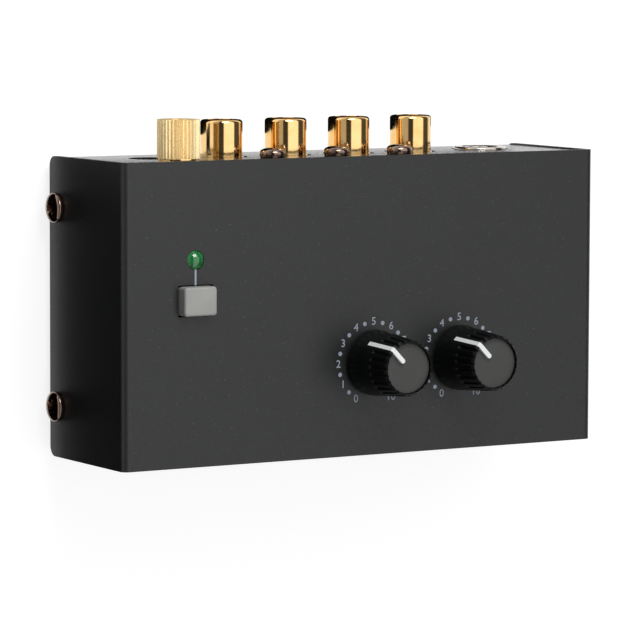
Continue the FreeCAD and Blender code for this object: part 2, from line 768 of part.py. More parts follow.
def make_ground_post():
    """Stud, inner nut and board strap that stay put, and the washer and thumb nut that unscrew."""
    where = dict(across=INLET_ACROSS, back=PANEL_OUT, height=POST_HEIGHT, turn=TO_BACK)
    stud = new_body("ground_stud")
    radius = "post_diameter / 2"
    end = "(washer_thickness + nut_height - post_end_recess)"
    turn_profile(stud, [("0", "-chassis_sheet - post_tail"), (radius, "-chassis_sheet - post_tail"),
                        (radius, end), ("0", end)])
    bevel_edges(stud, "post_end_bevel",
                ring_at(size("post_diameter") / 2, -size("chassis_sheet") - size("post_tail")))
    place(stud, **where)

    inner_nut = new_body("ground_inner_nut")
    profile = new_sketch(inner_nut, "XZ_Plane")
    hexagon(profile, "inner_nut_flats")
    circle(profile, "post_diameter + 2 * thread_gap")
    pad(inner_nut, profile, "inner_nut_height")
    place(inner_nut, INLET_ACROSS, f"{PANEL_IN} - lug_thickness", POST_HEIGHT)

    strap = new_body("ground_strap")
    ring = new_sketch(strap, "XZ_Plane")
    circle(ring, "lug_diameter")
    pad(strap, ring, "lug_thickness")
    half, drop = "strap_width / 2", f"({BOARD_TOP} - {POST_HEIGHT})"
    arm = new_sketch(strap, "XZ_Plane")
    outline(arm, [("0", half), (f"-strap_offset - {half}", half), (f"-strap_offset - {half}", drop),
                  (f"-strap_offset + {half}", drop), (f"-strap_offset + {half}", f"-{half}"),
                  ("0", f"-{half}")])
    pad(strap, arm, "lug_thickness")
    foot = new_sketch(strap, "XZ_Plane")
    rectangle(foot, f"-strap_offset - {half}", drop, f"-strap_offset + {half}",
              f"{drop} + lug_thickness")
    pad(strap, foot, "strap_foot")
    hole = new_sketch(strap, "XZ_Plane")
    circle(hole, "post_diameter + 2 * thread_gap")
    pocket(strap, hole, back=True)
    place(strap, INLET_ACROSS, PANEL_IN, POST_HEIGHT)

    washer = new_body("ground_washer")
    bore = "(post_diameter / 2 + washer_gap)"
    turn_profile(washer, [(bore, "0"), ("washer_diameter / 2", "0"),
                          ("washer_diameter / 2", "washer_thickness"), (bore, "washer_thickness")])
    place(washer, **where)

    nut = new_body("ground_nut")
    bore, outer = "(post_diameter / 2 + thread_gap)", "nut_diameter / 2"
    turn_profile(nut, [(bore, "0"), (outer, "0"), (outer, "nut_height"), (bore, "nut_height")])
    tooth = new_sketch(nut, "XY_Plane")
    outline(tooth, [(f"{outer} - nut_tooth_depth", "0"),
                    (f"{outer} + nut_tooth_depth", "-2 * nut_tooth_depth"),
                    (f"{outer} + nut_tooth_depth", "2 * nut_tooth_depth")])
    repeat_round(nut, pocket(nut, tooth, back=True), "nut_teeth")
    place(nut, INLET_ACROSS, f"{PANEL_OUT} + washer_thickness", POST_HEIGHT, TO_BACK)


def pointer_outline(sketch, proud):
    """Pointer from near the middle of the knob's end to its edge and down its side."""
    low = "(knob_tip / 2 + (knob_base - knob_tip) / 2 * pointer_drop / knob_height)"
    tip = "knob_tip / 2"
    outline(sketch, [("pointer_start", f"knob_height + {proud}"),
                     (f"{tip} + {proud}", f"knob_height + {proud}"),
                     (f"{low} + {proud}", "knob_height - pointer_drop"),
                     (f"{low} - pointer_depth", "knob_height - pointer_drop"),
                     (f"{tip} - pointer_depth", "knob_height - pointer_depth"),
                     ("pointer_start", "knob_height - pointer_depth")])


def make_knob(name, index):
    """Fluted knob with its end disc and pointer, and the potentiometer shaft that carries it."""
    rest = FreeCAD.Rotation(FreeCAD.Vector(0, 0, 1), 90 + size("pointer_rest"))
    where = dict(across=knob_across(index), back=KNOB_BACK, height=f"{FACE} + knob_gap", turn=rest)
    knob = new_body(f"{name}_knob")
    bore, boss, inside = "shaft_diameter / 2", "knob_boss / 2", "(knob_base / 2 - knob_wall)"
    turn_profile(knob, [(bore, "knob_boss_lift"), (boss, "knob_boss_lift"), (boss, "knob_hollow"),
                        (inside, "knob_hollow"), (inside, "0"), ("knob_base / 2", "0"),
                        ("knob_tip / 2", "knob_height"), ("0", "knob_height"), ("0", "shaft_entry"),
                        (bore, "shaft_entry")])
    key = new_sketch(knob, "XY_Plane", out="knob_boss_lift")
    rectangle(key, "-key_width / 2", "shaft_flat - shaft_diameter / 2", "key_width / 2",
              "shaft_diameter / 2 + key_bite")
    pad(knob, key, "shaft_entry - knob_boss_lift")
    bevel_edges(knob, "knob_bevel", ring_at(size("knob_tip") / 2, size("knob_height")))
    flute = new_sketch(knob, "XY_Plane", out="knob_height")
    outline(flute, [("flute_inner / 2", "-flute_floor / 2"), ("flute_outer / 2", "-flute_mouth / 2"),
                    ("flute_outer / 2", "flute_mouth / 2"), ("flute_inner / 2", "flute_floor / 2")])
    repeat_round(knob, pocket(knob, flute, "flute_length"), "flute_count")
    seat = new_sketch(knob, "XY_Plane", out="knob_height")
    circle(seat, "disc_diameter")
    pocket(knob, seat, "disc_thickness")
    slot = new_sketch(knob, "XZ_Plane")
    pointer_outline(slot, CUT_PAST)
    pocket(knob, slot, "pointer_width", midplane=True)
    place(knob, **where)

    disc = new_body(f"{name}_knob_disc")
    profile = new_sketch(disc, "XY_Plane", out="knob_height - disc_thickness")
    circle(profile, "disc_diameter")
    pad(disc, profile, "disc_thickness")
    slot = new_sketch(disc, "XZ_Plane")
    pointer_outline(slot, CUT_PAST)
    pocket(disc, slot, "pointer_width", midplane=True)
    place(disc, **where)

    pointer = new_body(f"{name}_knob_pointer")
    profile = new_sketch(pointer, "XZ_Plane")
    pointer_outline(profile, "pointer_proud")
    pad(pointer, profile, "pointer_width", midplane=True)
    top = size("knob_height") + size("pointer_proud")
    rim = size("knob_tip") / 2 + size("pointer_proud")
    bevel_edges(pointer, "knob_bevel", edge_at(x=rim, y=0, z=top))
    round_edges(pointer, "pointer_end",
                edge_at(x=size("pointer_start"), y=size("pointer_width") / 2))
    place(pointer, **where)

    shaft = new_body(f"{name}_shaft")
    length = f"({FACE} + knob_gap + shaft_entry - {BOARD_TOP} - shaft_foot)"
    profile = new_sketch(shaft, "XY_Plane")
    circle(profile, "shaft_diameter")
    pad(shaft, profile, length)
    flat = new_sketch(shaft, "XY_Plane", out=length)
    rectangle(flat, "-shaft_diameter", "shaft_flat - shaft_diameter / 2", "shaft_diameter",
              "shaft_diameter")
    pocket(shaft, flat, "shaft_entry - knob_boss_lift")
    place(shaft, knob_across(index), KNOB_BACK, f"{BOARD_TOP} + shaft_foot", rest)

    pot = new_body(f"{name}_pot_body")
    profile = new_sketch(pot, "XY_Plane")
    centred_rectangle(profile, "pot_width", "pot_depth")
    pad(pot, profile, "pot_height")
    bushing = new_sketch(pot, "XY_Plane")
    circle(bushing, "bushing_diameter")
    pad(pot, bushing, "pot_height + bushing_height")
    bore = new_sketch(pot, "XY_Plane", out="pot_height + bushing_height")
    circle(bore, "shaft_diameter + 2 * shaft_gap")
    pocket(pot, bore, "pot_height + bushing_height - shaft_foot")
    place(pot, knob_across(index), KNOB_BACK, BOARD_TOP)


def make_power_button():
    """Grey cap on the plunger of a push switch. The cap moves in a hole of the label face."""
    where = dict(across=BUTTON_ACROSS, back=BUTTON_BACK)
    cap_foot = f"({FACE} + button_reach - button_length)"
    plunger_foot = f"({BOARD_TOP} + switch_height - plunger_entry)"

    cap = new_body("power_button")
    profile = new_sketch(cap, "XY_Plane")
    centred_rectangle(profile, "button_width", "button_depth")
    pad(cap, profile, "button_length")
    upright = edge_at(x=size("button_width") / 2, y=size("button_depth") / 2)
    round_edges(cap, "button_corner", upright)
    bevel_edges(cap, "button_bevel", level_edges(size("button_length")))
    socket = new_sketch(cap, "XY_Plane")
    centred_rectangle(socket, "plunger_side", "plunger_side")
    pocket(cap, socket, "plunger_grip", back=True)
    place(cap, height=cap_foot, **where)

    plunger = new_body("switch_plunger")
    profile = new_sketch(plunger, "XY_Plane")
    centred_rectangle(profile, "plunger_side", "plunger_side")
    pad(plunger, profile, f"{cap_foot} + plunger_grip - {plunger_foot}")
    place(plunger, height=plunger_foot, **where)

    switch = new_body("power_switch_body")
    profile = new_sketch(switch, "XY_Plane")
    centred_rectangle(profile, "switch_side", "switch_side")
    pad(switch, profile, "switch_height")
    well = new_sketch(switch, "XY_Plane", out="switch_height")
    opening = "(plunger_side + 2 * plunger_gap)"
    centred_rectangle(well, opening, opening)
    pocket(switch, well, "plunger_entry + button_travel + plunger_room")
    place(switch, height=BOARD_TOP, **where)


def make_lamp():
    """Green domed lamp held up to its hole by a tube that stands on the board."""
    foot = f"({FACE} + lamp_reach - lamp_body)"
    where = dict(across=LAMP_ACROSS, back=LAMP_BACK)
    lamp = new_body("power_lamp")
    lens, flange = "lamp_diameter / 2", "lamp_flange / 2"
    turn_profile(lamp, [("0", "0"), (flange, "0"), (flange, "lamp_flange_height"),
                        (lens, "lamp_flange_height"), (lens, "lamp_body"), ("0", "lamp_body")])
    bevel_edges(lamp, "lamp_dome", ring_at(size("lamp_diameter") / 2, size("lamp_body")))
    place(lamp, height=foot, **where)

    leads = new_body("lamp_leads")
    profile = new_sketch(leads, "XY_Plane")
    for side in ("-", ""):
        centred_rectangle(profile, "lamp_lead", "lamp_lead", f"{side}lamp_lead_pitch / 2")
    pad(leads, profile, f"{foot} - {BOARD_TOP}")
    place(leads, height=BOARD_TOP, **where)

    spacer = new_body("lamp_spacer")
    profile = new_sketch(spacer, "XY_Plane")
    circle(profile, "spacer_diameter")
    circle(profile, "spacer_bore")
    pad(spacer, profile, f"{foot} - {BOARD_TOP}")
    place(spacer, height=BOARD_TOP, **where)


def make_chips():
    body = new_body("amplifier_chips")
    case = new_sketch(body, "XY_Plane", out="chip_lift")
    centred_rectangle(case, "chip_length", "chip_width")
    pad(body, case, "chip_height")
    legs = new_sketch(body, "XY_Plane")
    for step in (-1.5, -0.5, 0.5, 1.5):
        for side in ("-", ""):
            centred_rectangle(legs, "chip_leg", "chip_leg", f"{step} * chip_leg_pitch",
                              f"{side}(chip_width + chip_leg) / 2")
    pad(body, legs, "chip_leg_height")
    repeat(body, in_line(body, "X_Axis", f"chip_pitch * {SPREAD}", "chip_count"))
    place(body, f"{LEFT} + chip_first * {SPREAD}", f"{FRONT} + chip_row * {DEEPEN}", BOARD_TOP)


def make_cans():
    body = new_body("electrolytic_capacitors")
    profile = new_sketch(body, "XY_Plane")
    circle(profile, "can_diameter")
    pad(body, profile, "can_height")
    repeat(body, in_line(body, "X_Axis", f"can_pitch * {SPREAD}", "can_count"))
    place(body, f"{LEFT} + can_first * {SPREAD}", f"{FRONT} + can_row * {DEEPEN}", BOARD_TOP)


def make_films():
    body = new_body("film_capacitors")
    profile = new_sketch(body, "XY_Plane")
    centred_rectangle(profile, "film_length", "film_width")
    pad(body, profile, "film_height")
    repeat(body, in_line(body, "X_Axis", f"film_pitch * {SPREAD}", "film_count"))
    place(body, f"{LEFT} + film_first * {SPREAD}", f"{FRONT} + film_row * {DEEPEN}", BOARD_TOP)


def make_resistors():
    body = new_body("resistors")
    profile = new_sketch(body, "XY_Plane")
    centred_rectangle(profile, "resistor_width", "resistor_length")
    pad(body, profile, "resistor_height")
    repeat(body, in_line(body, "X_Axis", f"resistor_pitch * {SPREAD}", "resistor_count"))
    place(body, f"{LEFT} + resistor_first * {SPREAD}", f"{FRONT} + resistor_row * {DEEPEN}", BOARD_TOP)


def make_regulator():
    body = new_body("voltage_regulator")
    case = new_sketch(body, "XY_Plane", out="regulator_lift")
    centred_rectangle(case, "regulator_width", "regulator_thickness")
    pad(body, case, "regulator_height")
    tab = new_sketch(body, "XY_Plane", out="regulator_lift")
    rectangle(tab, "-regulator_width / 2", "-regulator_thickness / 2", "regulator_width / 2",
              "-regulator_thickness / 2 + regulator_tab_thickness")
    pad(body, tab, "regulator_height + regulator_tab")
    hole = new_sketch(body, "XZ_Plane")
    circle(hole, "regulator_tab_hole", "0", "regulator_lift + regulator_height + regulator_tab / 2")
    pocket(body, hole, midplane=True)
    legs = new_sketch(body, "XY_Plane")
    for step in (-1, 0, 1):
        centred_rectangle(legs, "regulator_leg", "regulator_leg", f"{step} * regulator_leg_pitch")
    pad(body, legs, "regulator_lift")
    place(body, f"{RIGHT} - regulator_inset * {SPREAD}", f"{FRONT} + regulator_row * {DEEPEN}", BOARD_TOP)


make_top_cover()
make_base_chassis()
make_cover_screws()
make_feet()
make_board()
make_standoffs()
make_board_screws()
make_jack_housing()
for index in JACKS:
    make_phono_socket(index)
make_jack_screws()
make_output_jack()
make_inlet()
make_ground_post()
for index, name in enumerate(("level", "volume")):
    make_knob(name, index)
make_power_button()
make_lamp()
make_chips()
make_cans()
make_films()
make_resistors()
make_regulator()
doc.recompute()

for item in doc.Objects:
    if "Invalid" in item.State or "Error" in item.State:
        raise RuntimeError(f"{item.Label} failed to build")
for piece in pieces:
    if piece.Shape.isNull() or not piece.Shape.isValid():
        raise RuntimeError(f"{piece.Label} has no valid shape")

os.makedirs("parts", exist_ok=True)
for piece in pieces:
    piece.Shape.exportStep(f"parts/{piece.Label}.step")
    print(f"{piece.Label}: {len(piece.Shape.Solids)} solids, {piece.Shape.Volume:.1f} mm3")
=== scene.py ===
"""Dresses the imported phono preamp: materials, printed dials, screws and barrels, and the studio.

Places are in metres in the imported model's frame: X along the connector panel, Y out of it, Z up.
"""
import math
from collections import namedtuple

import bmesh
import bpy
from mathutils import Matrix, Vector


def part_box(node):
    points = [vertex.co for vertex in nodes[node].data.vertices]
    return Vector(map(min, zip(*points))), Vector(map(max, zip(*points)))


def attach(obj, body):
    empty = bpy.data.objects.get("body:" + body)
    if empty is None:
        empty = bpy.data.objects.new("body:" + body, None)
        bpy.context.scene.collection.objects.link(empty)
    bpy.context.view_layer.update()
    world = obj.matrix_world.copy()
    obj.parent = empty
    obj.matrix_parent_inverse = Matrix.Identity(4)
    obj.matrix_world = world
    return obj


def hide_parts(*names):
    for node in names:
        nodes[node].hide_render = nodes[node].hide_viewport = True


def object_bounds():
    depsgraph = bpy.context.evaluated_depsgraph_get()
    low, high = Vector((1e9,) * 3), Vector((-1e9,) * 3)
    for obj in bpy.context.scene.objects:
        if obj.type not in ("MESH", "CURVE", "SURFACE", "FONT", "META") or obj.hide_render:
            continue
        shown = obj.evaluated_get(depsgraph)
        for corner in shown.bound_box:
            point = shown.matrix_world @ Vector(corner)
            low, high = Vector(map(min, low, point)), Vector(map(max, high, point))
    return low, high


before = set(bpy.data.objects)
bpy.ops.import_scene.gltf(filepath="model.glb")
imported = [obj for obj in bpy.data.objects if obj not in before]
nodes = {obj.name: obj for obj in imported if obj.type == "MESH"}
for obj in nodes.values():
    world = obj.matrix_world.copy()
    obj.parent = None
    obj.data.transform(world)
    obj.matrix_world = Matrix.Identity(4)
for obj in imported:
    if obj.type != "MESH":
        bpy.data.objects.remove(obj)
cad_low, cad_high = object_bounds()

MM = 0.001
ROUND_STEPS = 96
SMALL_ROUND_STEPS = 64
KNOBS = ("level", "volume")
SOCKETS = range(1, 5)

panel_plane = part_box("base_chassis")[1].y


# Shader helpers

NOISE_LOW, NOISE_HIGH = 0.3, 0.7

# Sockets of a Mix node: its factor, then the two inputs and the output for colours
MIX_FACTOR, MIX_FIRST, MIX_SECOND, MIX_RESULT = 0, 6, 7, 2


def srgb(red, green, blue):
    """Linear colour of an sRGB colour given from 0 to 255."""
    def linear(value):
        value = value / 255
        return value / 12.92 if value <= 0.04045 else ((value + 0.055) / 1.055) ** 2.4
    return (linear(red), linear(green), linear(blue), 1.0)


def shade(colour, share):
    return tuple(share * part for part in colour)


def feed(tree, value, socket):
    """Link an output to a socket, or set the socket to a plain value."""
    if isinstance(value, bpy.types.NodeSocket):
        tree.links.new(value, socket)
    else:
        socket.default_value = value


class Shader:
    """A Principled material with a few procedural layers in the model's own coordinates."""

    def __init__(self, name, colour, roughness, metallic=0.0, specular=0.5, coat=0.0):
        self.material = bpy.data.materials.new(name)
        self.material.use_nodes = True
        self.tree = self.material.node_tree
        self.surface = self.tree.nodes["Principled BSDF"]
        self.set("Base Color", colour)
        self.set("Roughness", roughness)
        self.set("Metallic", metallic)
        self.set("Specular IOR Level", specular)
        self.set("Coat Weight", coat)
        self.place = self.tree.nodes.new("ShaderNodeTexCoord").outputs["Object"]

    def set(self, socket, value):
        self.surface.inputs[socket].default_value = value

    def link(self, output, socket):
        self.tree.links.new(output, self.surface.inputs[socket])

    def node(self, kind, **inputs):
        node = self.tree.nodes.new(f"ShaderNode{kind}")
        for name, value in inputs.items():
            feed(self.tree, value, node.inputs[name.replace("_", " ")])
        return node

    def stretched(self, along):
        """Coordinates scaled along each axis, for brushed or drawn surfaces."""
        return self.node("Mapping", Vector=self.place, Scale=along).outputs["Vector"]

    def noise(self, size, detail=2.0, place=None):
        """Noise whose largest features have the given size in metres."""
        node = self.node("TexNoise", Vector=place or self.place, Scale=1 / size, Detail=detail)
        return node.outputs["Fac"]

    def remap(self, factor, low, high, out_low=0.0, out_high=1.0):
        node = self.node("MapRange", Value=factor, From_Min=low, From_Max=high,
                         To_Min=out_low, To_Max=out_high)
        return node.outputs["Result"]

    def spread(self, factor, low=0.0, high=1.0):
        """Carry the middle of a noise's values from low to high."""
        return self.remap(factor, NOISE_LOW, NOISE_HIGH, low, high)

    def mix(self, factor, first, second):
        node = self.tree.nodes.new("ShaderNodeMix")
        node.data_type = "RGBA"
        for socket, value in ((MIX_FACTOR, factor), (MIX_FIRST, first), (MIX_SECOND, second)):
            feed(self.tree, value, node.inputs[socket])
        return node.outputs[MIX_RESULT]

    def bump(self, height, strength, depth):
        node = self.node("Bump", Height=height, Strength=strength, Distance=depth)
        self.link(node.outputs["Normal"], "Normal")


# Materials

GOLD = (0.93, 0.62, 0.27, 1)
GOLD_TARNISH = (0.80, 0.44, 0.13, 1)

# Scales that draw a noise out along one axis
ALONG_Y = (1.0, 0.04, 1.0)
ALONG_Z = (1.0, 1.0, 0.04)


def powder_coat(name, colour, roughness=0.42, specular=0.5):
    """Dark satin powder coating with a fine grain, faint clouds, and a few pale flecks that are painted
    glints of its speckled sheen.
    """
    grain_size, painted_glint_size, cloud_size = 0.35 * MM, 0.5 * MM, 14 * MM
    shader = Shader(name, colour, roughness, specular=specular)
    grain = shader.noise(grain_size, 3.0)
    # Pale flecks of five times the coat's colour: painted glints, standing in for the speckled sheen of the
    # coat.
    painted_glint = shader.remap(shader.noise(painted_glint_size, 1.0), 0.71, 0.77)
    tone = shader.mix(shader.spread(shader.noise(cloud_size)), colour, shade(colour, 0.86))
    shader.link(shader.mix(painted_glint, tone, shade(colour, 5.0)), "Base Color")
    shader.link(shader.spread(grain, roughness - 0.06, roughness + 0.08), "Roughness")
    shader.bump(grain, 0.22, 0.02 * MM)
    return shader.material


def plastic(name, colour, roughness, specular=0.4, grain=0.25 * MM, relief=0.12):
    """Moulded plastic with a fine surface grain and a slight change of tone."""
    tone_size = 5 * MM
    shader = Shader(name, colour, roughness, specular=specular)
    texture = shader.noise(grain, 3.0)
    tone = shader.spread(shader.noise(tone_size))
    shader.link(shader.mix(tone, colour, shade(colour, 0.88)), "Base Color")
    shader.link(shader.spread(texture, roughness - 0.05, roughness + 0.05), "Roughness")
    shader.bump(texture, relief, 0.01 * MM)
    return shader.material


def polished(name, colour, roughness, tarnish, along=(1.0, 1.0, 1.0)):
    """Plated metal with faint polishing lines and a little tarnish."""
    line_size, stain_size = 0.3 * MM, 3 * MM
    shader = Shader(name, colour, roughness, metallic=1.0)
    lines = shader.noise(line_size, 2.0, shader.stretched(along))
    stain = shader.remap(shader.noise(stain_size, 4.0), 0.45, 0.8, 0.0, 0.6)
    shader.link(shader.mix(stain, colour, tarnish), "Base Color")
    shader.link(shader.spread(lines, roughness * 0.8, roughness * 1.3), "Roughness")
    shader.bump(lines, 0.03, 0.004 * MM)
    return shader.material


def brushed(name, colour, roughness, along):
    """Machined metal whose marks run along one axis."""
    mark_size = 0.2 * MM
    shader = Shader(name, colour, roughness, metallic=1.0)
    marks = shader.noise(mark_size, 4.0, shader.stretched(along))
    shader.link(shader.mix(shader.spread(marks), colour, shade(colour, 0.8)), "Base Color")
    shader.link(shader.spread(marks, roughness - 0.08, roughness + 0.08), "Roughness")
    shader.bump(marks, 0.15, 0.01 * MM)
    return shader.material


def knurled_gold():
    """Pale satin gold with the tiny pits of a plated knurl."""
    colour, pit_colour, pit_size = srgb(254, 230, 178), srgb(150, 96, 40), 0.22 * MM
    shader = Shader("knurled_gold", colour, 0.5, metallic=1.0)
    pits = shader.noise(pit_size)
    shader.link(shader.mix(shader.remap(pits, 0.62, 0.72), colour, pit_colour), "Base Color")
    shader.link(shader.spread(pits, 0.44, 0.58), "Roughness")
    shader.bump(shader.remap(pits, 0.55, 0.75, 1.0, 0.0), 0.35, 0.02 * MM)
    return shader.material


def lamp_resin():
    """Tinted diffused resin: bright inside, with a clear glossy skin."""
    colour, deep_colour, depth_size = srgb(10, 120, 52), srgb(6, 84, 36), 1.2 * MM
    shader = Shader("lamp_lens", colour, 0.08, specular=0.6, coat=0.6)
    shader.set("Subsurface Weight", 0.35)
    shader.set("Subsurface Radius", (0.2 * MM, 1.2 * MM, 0.4 * MM))
    shader.set("Subsurface Scale", 1.0)
    depth = shader.spread(shader.noise(depth_size))
    shader.link(shader.mix(depth, colour, deep_colour), "Base Color")
    return shader.material


def printed(name, colour):
    """Screen print ink: matt, with slightly worn coverage."""
    wear_size = 0.3 * MM
    shader = Shader(name, colour, 0.6, specular=0.25)
    wear = shader.remap(shader.noise(wear_size, 3.0), 0.3, 0.75, 0.0, 0.5)
    shader.link(shader.mix(wear, colour, shade(colour, 0.7)), "Base Color")
    shader.bump(wear, 0.1, 0.005 * MM)
    return shader.material


def circuit_board():
    """Green solder mask with copper tracks showing through as lighter lines."""
    colour, track_colour, track_pitch = srgb(18, 92, 48), srgb(34, 128, 66), 2.5 * MM
    shader = Shader("board_mask", colour, 0.3)
    cells = shader.node("TexVoronoi", Vector=shader.place, Scale=1 / track_pitch)
    cells.distance = "CHEBYCHEV"
    track = shader.remap(cells.outputs["Distance"], 0.42, 0.46)
    shader.link(shader.mix(track, colour, track_colour), "Base Color")
    shader.bump(track, 0.3, 0.03 * MM)
    return shader.material


def chip_resistor():
    """Black ceramic with tinned metal over both ends."""
    colour, tin, tinned_length, blur = srgb(22, 22, 24), srgb(196, 196, 192), 0.5 * MM, 0.02 * MM
    low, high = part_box("resistors")
    half = (high.y - low.y) / 2
    shader = Shader("chip_resistor", colour, 0.35)
    along = shader.node("Math", Value=shader.node("SeparateXYZ", Vector=shader.place).outputs["Y"])
    along.operation = "SUBTRACT"
    along.inputs[1].default_value = (low.y + high.y) / 2
    reach = shader.node("Math", Value=along.outputs[0])
    reach.operation = "ABSOLUTE"
    tinned = shader.remap(reach.outputs[0], half - tinned_length - blur, half - tinned_length + blur)
    shader.link(shader.mix(tinned, colour, tin), "Base Color")
    shader.link(tinned, "Metallic")
    shader.bump(shader.noise(0.2 * MM), 0.1, 0.01 * MM)
    return shader.material


coat = powder_coat("black_powder_coat", srgb(20, 21, 22))
# The connector panel has the cover's black coat, glossier and painted lighter: the gloss is real, the lighter
# colour is painted light for the panel's bright sheen.
panel_coat_painted_lighter = powder_coat("black_panel_coat", srgb(34, 35, 35), 0.22, 0.7)
gold = polished("polished_gold", GOLD, 0.09, GOLD_TARNISH, ALONG_Y)
black_nickel = polished("black_nickel", srgb(142, 120, 108), 0.13, srgb(84, 62, 52))
nickel = polished("bright_nickel", srgb(214, 206, 198), 0.14, srgb(180, 168, 156))
steel = brushed("plain_steel", srgb(190, 190, 186), 0.34, ALONG_Y)
shaft_alloy = brushed("shaft_alloy", srgb(200, 200, 200), 0.32, ALONG_Z)
pot_metal = brushed("pot_case", srgb(176, 176, 170), 0.36, ALONG_Y)
knob_black = plastic("knob_black", srgb(7, 8, 8), 0.36, specular=0.12)
knob_disc_grey = plastic("knob_disc_grey", srgb(66, 67, 65), 0.5, specular=0.3)
button_grey = plastic("button_grey", srgb(150, 150, 147), 0.42, grain=0.3 * MM, relief=0.2)
socket_black = plastic("socket_black", srgb(22, 22, 23), 0.45)
insulator_black = plastic("insulator_black", srgb(20, 20, 20), 0.3)
print_grey = printed("print_grey", srgb(150, 158, 170))
pointer_white = printed("pointer_white", srgb(236, 238, 238))

by_node = {
    "top_cover": coat,
    "base_chassis": panel_coat_painted_lighter,
    "rubber_feet": plastic("foot_rubber", srgb(24, 24, 24), 0.75, specular=0.2, grain=0.5 * MM, relief=0.4),
    "circuit_board": circuit_board(),
    "board_standoffs": brushed("standoff_brass", srgb(206, 176, 104), 0.3, ALONG_Z),
    "board_screws": steel,
    "phono_housing": socket_black,
    "output_jack_body": socket_black,
    "output_jack_springs": nickel,
    "power_inlet_body": socket_black,
    "power_inlet_pin": nickel,
    "ground_stud": brushed("stud_brass", GOLD, 0.25, ALONG_Y),
    "ground_inner_nut": steel,
    "ground_strap": nickel,
    "ground_washer": gold,
    "ground_nut": knurled_gold(),
    "power_switch_body": socket_black,
    "switch_plunger": plastic("plunger_white", srgb(222, 220, 214), 0.4),
    "lamp_leads": nickel,
    "lamp_spacer": socket_black,
    "amplifier_chips": plastic("chip_epoxy", srgb(34, 34, 36), 0.6, grain=0.4 * MM, relief=0.3),
    "electrolytic_capacitors": plastic("can_sleeve", srgb(30, 34, 62), 0.25),
    "film_capacitors": plastic("film_dip", srgb(146, 40, 30), 0.25),
    "resistors": chip_resistor(),
    "voltage_regulator": plastic("regulator_epoxy", srgb(34, 34, 36), 0.6),
}
for knob in KNOBS:
    by_node[f"{knob}_knob_pointer"] = pointer_white
    by_node[f"{knob}_shaft"] = shaft_alloy
    by_node[f"{knob}_pot_body"] = pot_metal
for number in SOCKETS:
    by_node[f"phono_insulator_{number}"] = insulator_black
    by_node[f"phono_contact_{number}"] = gold
for name, material in by_node.items():
    nodes[name].data.materials.clear()
    nodes[name].data.materials.append(material)


# Mesh helpers

OUT_OF_PANEL, UP = (0, 1, 0), (0, 0, 1)


def add_object(name, data):
    piece = bpy.data.objects.new(name, data)
    bpy.context.scene.collection.objects.link(piece)
    return piece


def mesh_from(work, name):
    mesh = bpy.data.meshes.new(name)
    work.to_mesh(mesh)
    work.free()
    return mesh


def finish_mesh(work, name, material, body, smooth_below=32):
    """Turn a bmesh into an object on a body, with creases sharper than an angle kept sharp."""
    bmesh.ops.recalc_face_normals(work, faces=work.faces)
    for face in work.faces:
        face.smooth = True
    for edge in work.edges:
        if len(edge.link_faces) == 2 and edge.calc_face_angle(0) > math.radians(smooth_below):
            edge.smooth = False
    piece = add_object(name, mesh_from(work, name))
    piece.data.materials.append(material)
    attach(piece, body)
    return piece


def arc(centre_radius, centre_along, radius, start, stop, steps=8):
    """Points (radius, along) on an arc of a lathe's profile, with angles from the radius axis."""
    angles = [math.radians(start + (stop - start) * step / steps) for step in range(steps + 1)]
    return [(centre_radius + radius * math.cos(angle), centre_along + radius * math.sin(angle))
            for angle in angles]


def join_rings(work, first, second):
    """Faces between two rings of vertices. A ring of one vertex closes an end."""
    count = max(len(first), len(second))
    for step in range(count):
        corners = [first[step % len(first)], first[(step + 1) % count % len(first)],
                   second[(step + 1) % count % len(second)], second[step % len(second)]]
        unique = list(dict.fromkeys(corners))
        if len(unique) > 2:
            work.faces.new(unique)


def lathe(work, profile, origin, axis, steps=ROUND_STEPS):
    """Turn a profile of (radius, along) points about an axis. A radius of 0 closes an end."""
    turn = Vector(UP).rotation_difference(Vector(axis)).to_matrix()
    rings = []
    for radius, along in profile:
        count = steps if radius > 0 else 1
        angles = [2 * math.pi * step / count for step in range(count)]
        points = [Vector((radius * math.cos(angle), radius * math.sin(angle), along)) for angle in angles]
        rings.append([work.verts.new(Vector(origin) + turn @ point) for point in points])
    for first, second in zip(rings, rings[1:]):
        join_rings(work, first, second)


def middle(node):
    low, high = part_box(node)
    return (low + high) / 2


# Phono barrels, with rolled ends

def make_barrel(number):
    low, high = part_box(f"phono_shell_{number}")
    centre = middle(f"phono_shell_{number}")
    collar = (high.x - low.x) / 2
    outer, wall, rolled, inner_edge = 4.15 * MM, 0.8 * MM, 0.62 * MM, 0.1 * MM
    inner = outer - wall
    root, end = low.y - panel_plane, high.y - panel_plane
    profile = [(inner, root), (collar, root), (collar, 0), (outer, 0), (outer, end - rolled)]
    profile += arc(outer - rolled, end - rolled, rolled, 0, 90)
    profile += [(inner + inner_edge, end), (inner, end - inner_edge), (inner, root)]
    work = bmesh.new()
    lathe(work, profile, (centre.x, panel_plane, centre.z), OUT_OF_PANEL)
    barrel = finish_mesh(work, f"phono_barrel_{number}", gold, "preamp")
    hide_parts(f"phono_shell_{number}")


# Pan-head screws with cross recesses

# Diameters of the head and the shank, height of the head and length of the shank
Screw = namedtuple("Screw", "head crown shank length")
COVER_SCREW = Screw(head=6.0 * MM, crown=1.65 * MM, shank=3.0 * MM, length=5.0 * MM)
JACK_SCREW = Screw(head=5.2 * MM, crown=1.9 * MM, shank=2.9 * MM, length=8.0 * MM)


